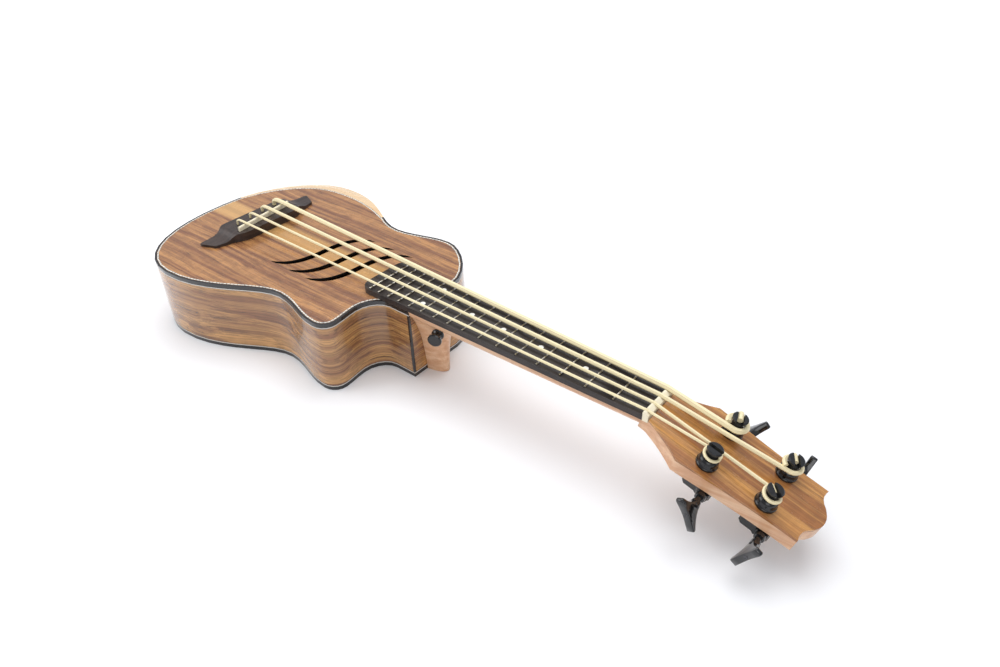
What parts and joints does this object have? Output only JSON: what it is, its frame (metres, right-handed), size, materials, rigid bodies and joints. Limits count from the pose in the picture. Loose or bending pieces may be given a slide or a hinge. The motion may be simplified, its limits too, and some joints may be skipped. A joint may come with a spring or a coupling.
{
  "type": "bass ukulele",
  "caption": "Acoustic bass ukulele with a cutaway body, bevelled armrest, slit sound holes, fretted neck, angled headstock and geared tuners.",
  "frame": {"origin": "centre of the bounding box, on the surface the back lies on", "axes": "+X from the tail to the headstock, +Y to the bass side, +Z out of the top"},
  "size_m": [0.8076, 0.275, 0.1064],
  "materials": {
    "figured_tonewood": "gloss lacquer over figured wood",
    "black_binding": "gloss",
    "pale_wood": "satin",
    "lining_wood": "unfinished",
    "neck_wood": "satin",
    "bridge_wood": "oiled",
    "fretboard_wood": "oiled",
    "bone": "polished bone",
    "fret_metal": "polished",
    "string_polymer": "smooth",
    "black_metal": "black plated",
    "black_key": "gloss black"
  },
  "bodies": {
    "instrument": {"top_plate": "figured_tonewood", "back_plate": "figured_tonewood", "rib_bass": "figured_tonewood", "rib_treble": "figured_tonewood", "head_veneer": "figured_tonewood", "binding_top": "black_binding", "binding_back": "black_binding", "corner_strip": "black_binding", "armrest": "pale_wood", "bridge_plate": "pale_wood", "lining_top": "lining_wood", "lining_back": "lining_wood", "brace_top": "lining_wood", "brace_back_upper": "lining_wood", "brace_back_lower": "lining_wood", "neck": "neck_wood", "neck_block": "neck_wood", "tail_block": "neck_wood", "bridge": "bridge_wood", "fretboard": "fretboard_wood", "saddle": "bone", "nut": "bone", "fret_01": "fret_metal", "fret_02": "fret_metal", "fret_03": "fret_metal", "fret_04": "fret_metal", "fret_05": "fret_metal", "fret_06": "fret_metal", "fret_07": "fret_metal", "fret_08": "fret_metal", "fret_09": "fret_metal", "fret_10": "fret_metal", "fret_11": "fret_metal", "fret_12": "fret_metal", "fret_13": "fret_metal", "fret_14": "fret_metal", "fret_15": "fret_metal", "fret_16": "fret_metal", "string_1": "string_polymer", "string_2": "string_polymer", "string_3": "string_polymer", "string_4": "string_polymer", "end_pin": "black_metal", "strap_button": "black_metal", "tuner_housing_1": "black_metal", "tuner_ferrule_1": "black_metal", "tuner_housing_2": "black_metal", "tuner_ferrule_2": "black_metal", "tuner_housing_3": "black_metal", "tuner_ferrule_3": "black_metal", "tuner_housing_4": "black_metal", "tuner_ferrule_4": "black_metal"},
    "post_1": {"tuner_post_1": "black_metal"},
    "key_1": {"tuner_key_1": "black_key"},
    "post_2": {"tuner_post_2": "black_metal"},
    "key_2": {"tuner_key_2": "black_key"},
    "post_3": {"tuner_post_3": "black_metal"},
    "key_3": {"tuner_key_3": "black_key"},
    "post_4": {"tuner_post_4": "black_metal"},
    "key_4": {"tuner_key_4": "black_key"}
  },
  "joints": [
    {"name": "key_turn_1", "type": "hinge", "parent": "instrument", "child": "key_1", "pos_m": [0.31479, -0.023, 0.04551], "axis": [0, -1, 0], "continuous": true},
    {"name": "post_turn_1", "type": "hinge", "parent": "instrument", "child": "post_1", "pos_m": [0.30902, -0.023, 0.06749], "axis": [0.2706, 0, 0.9627], "continuous": true},
    {"name": "key_turn_2", "type": "hinge", "parent": "instrument", "child": "key_2", "pos_m": [0.36678, -0.0205, 0.03089], "axis": [0, -1, 0], "continuous": true},
    {"name": "post_turn_2", "type": "hinge", "parent": "instrument", "child": "post_2", "pos_m": [0.36101, -0.0205, 0.05288], "axis": [0.2706, 0, 0.9627], "continuous": true},
    {"name": "key_turn_3", "type": "hinge", "parent": "instrument", "child": "key_3", "pos_m": [0.36678, 0.0205, 0.03089], "axis": [0, 1, 0], "continuous": true},
    {"name": "post_turn_3", "type": "hinge", "parent": "instrument", "child": "post_3", "pos_m": [0.36101, 0.0205, 0.05288], "axis": [0.2706, 0, 0.9627], "continuous": true},
    {"name": "key_turn_4", "type": "hinge", "parent": "instrument", "child": "key_4", "pos_m": [0.31479, 0.023, 0.04551], "axis": [0, 1, 0], "continuous": true},
    {"name": "post_turn_4", "type": "hinge", "parent": "instrument", "child": "post_4", "pos_m": [0.30902, 0.023, 0.06749], "axis": [0.2706, 0, 0.9627], "continuous": true}
  ],
  "couplings": [
    {"joint": "post_turn_1", "follows": "key_turn_1", "ratio": 0.05},
    {"joint": "post_turn_2", "follows": "key_turn_2", "ratio": 0.05},
    {"joint": "post_turn_3", "follows": "key_turn_3", "ratio": -0.05},
    {"joint": "post_turn_4", "follows": "key_turn_4", "ratio": -0.05}
  ]
}
